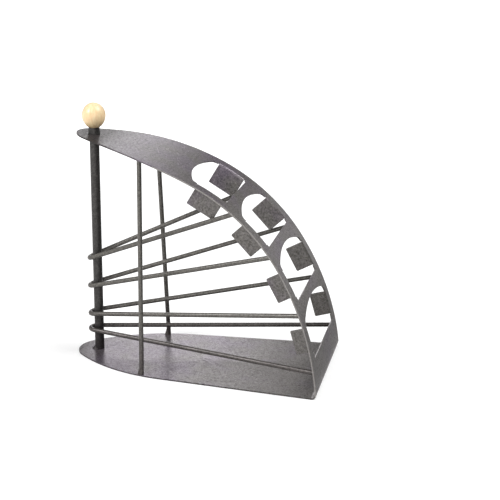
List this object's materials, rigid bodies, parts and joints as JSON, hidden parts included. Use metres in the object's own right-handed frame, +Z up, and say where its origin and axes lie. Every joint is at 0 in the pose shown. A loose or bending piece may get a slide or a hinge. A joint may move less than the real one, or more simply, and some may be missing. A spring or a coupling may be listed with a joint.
{
  "type": "remote control holder",
  "caption": "Free-standing remote control holder: one folded sheet with a windowed curved front, hairpin wire rests, a rear post with a wooden ball, and side rods.",
  "frame": {"origin": "underside of the base, at the middle of the overall length and width", "axes": "+Z up, -Y towards the windowed front panel, +X to the right seen from the front"},
  "size_m": [0.1268, 0.228, 0.2264],
  "materials": {
    "sheet_coat": "graphite grey powder coat, satin, finely mottled",
    "rod_coat": "dark graphite grey powder coat, satin",
    "ball_wood": "pale turned wood, thinly varnished"
  },
  "bodies": {
    "root": {"sheet_frame": "sheet_coat", "back_post": "rod_coat", "side_rod_left": "rod_coat", "side_rod_right": "rod_coat", "wire_loop_1": "rod_coat", "wire_loop_2": "rod_coat", "wire_loop_3": "rod_coat", "wire_loop_4": "rod_coat", "ball_finial": "ball_wood"}
  },
  "joints": []
}
